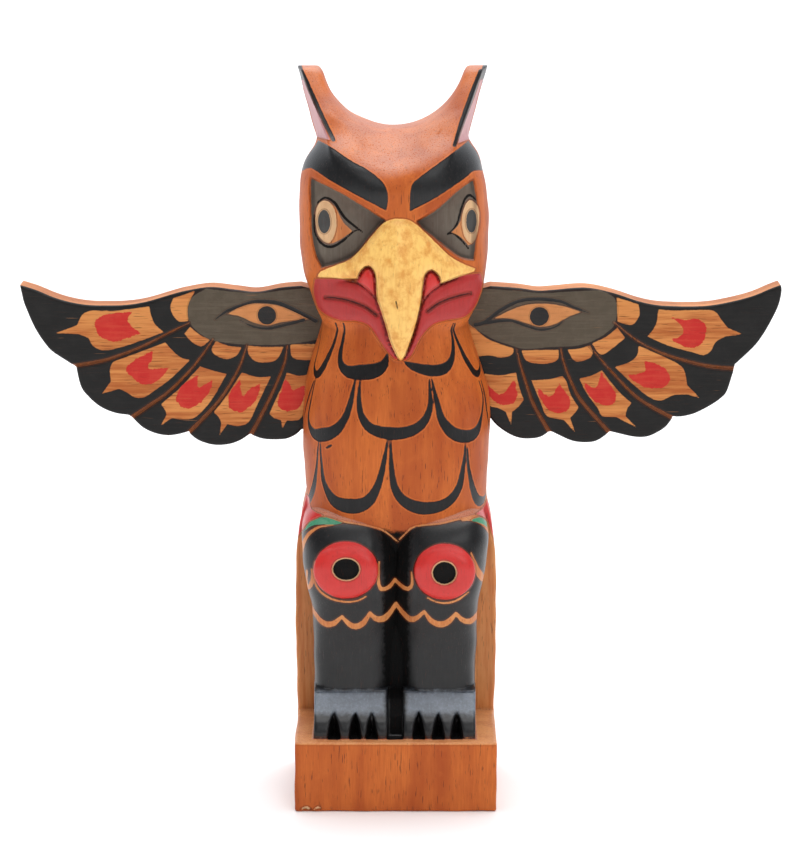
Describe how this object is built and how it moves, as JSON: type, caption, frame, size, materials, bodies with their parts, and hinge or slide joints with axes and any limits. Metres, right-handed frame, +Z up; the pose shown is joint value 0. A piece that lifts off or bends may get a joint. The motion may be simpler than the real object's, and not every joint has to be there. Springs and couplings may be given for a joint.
{
  "type": "souvenir totem pole",
  "caption": "Carved and painted wooden totem pole of a bird of prey with upright ears and spread board wings, standing on a square plinth.",
  "frame": {"origin": "middle of the plinth's underside", "axes": "+Z up, the face and feet towards -Y, the flat back towards +Y, +X to the right of someone who faces the carving"},
  "size_m": [0.3136, 0.062, 0.3015],
  "materials": {
    "pole_wood": "varnished red-brown hardwood with black, grey, red, yellow, green and pink paint",
    "wing_wood": "varnished board painted black, grey and red over bare wood windows"
  },
  "bodies": {
    "root": {"pole": "pole_wood", "wing_left": "wing_wood", "wing_right": "wing_wood"}
  },
  "joints": []
}
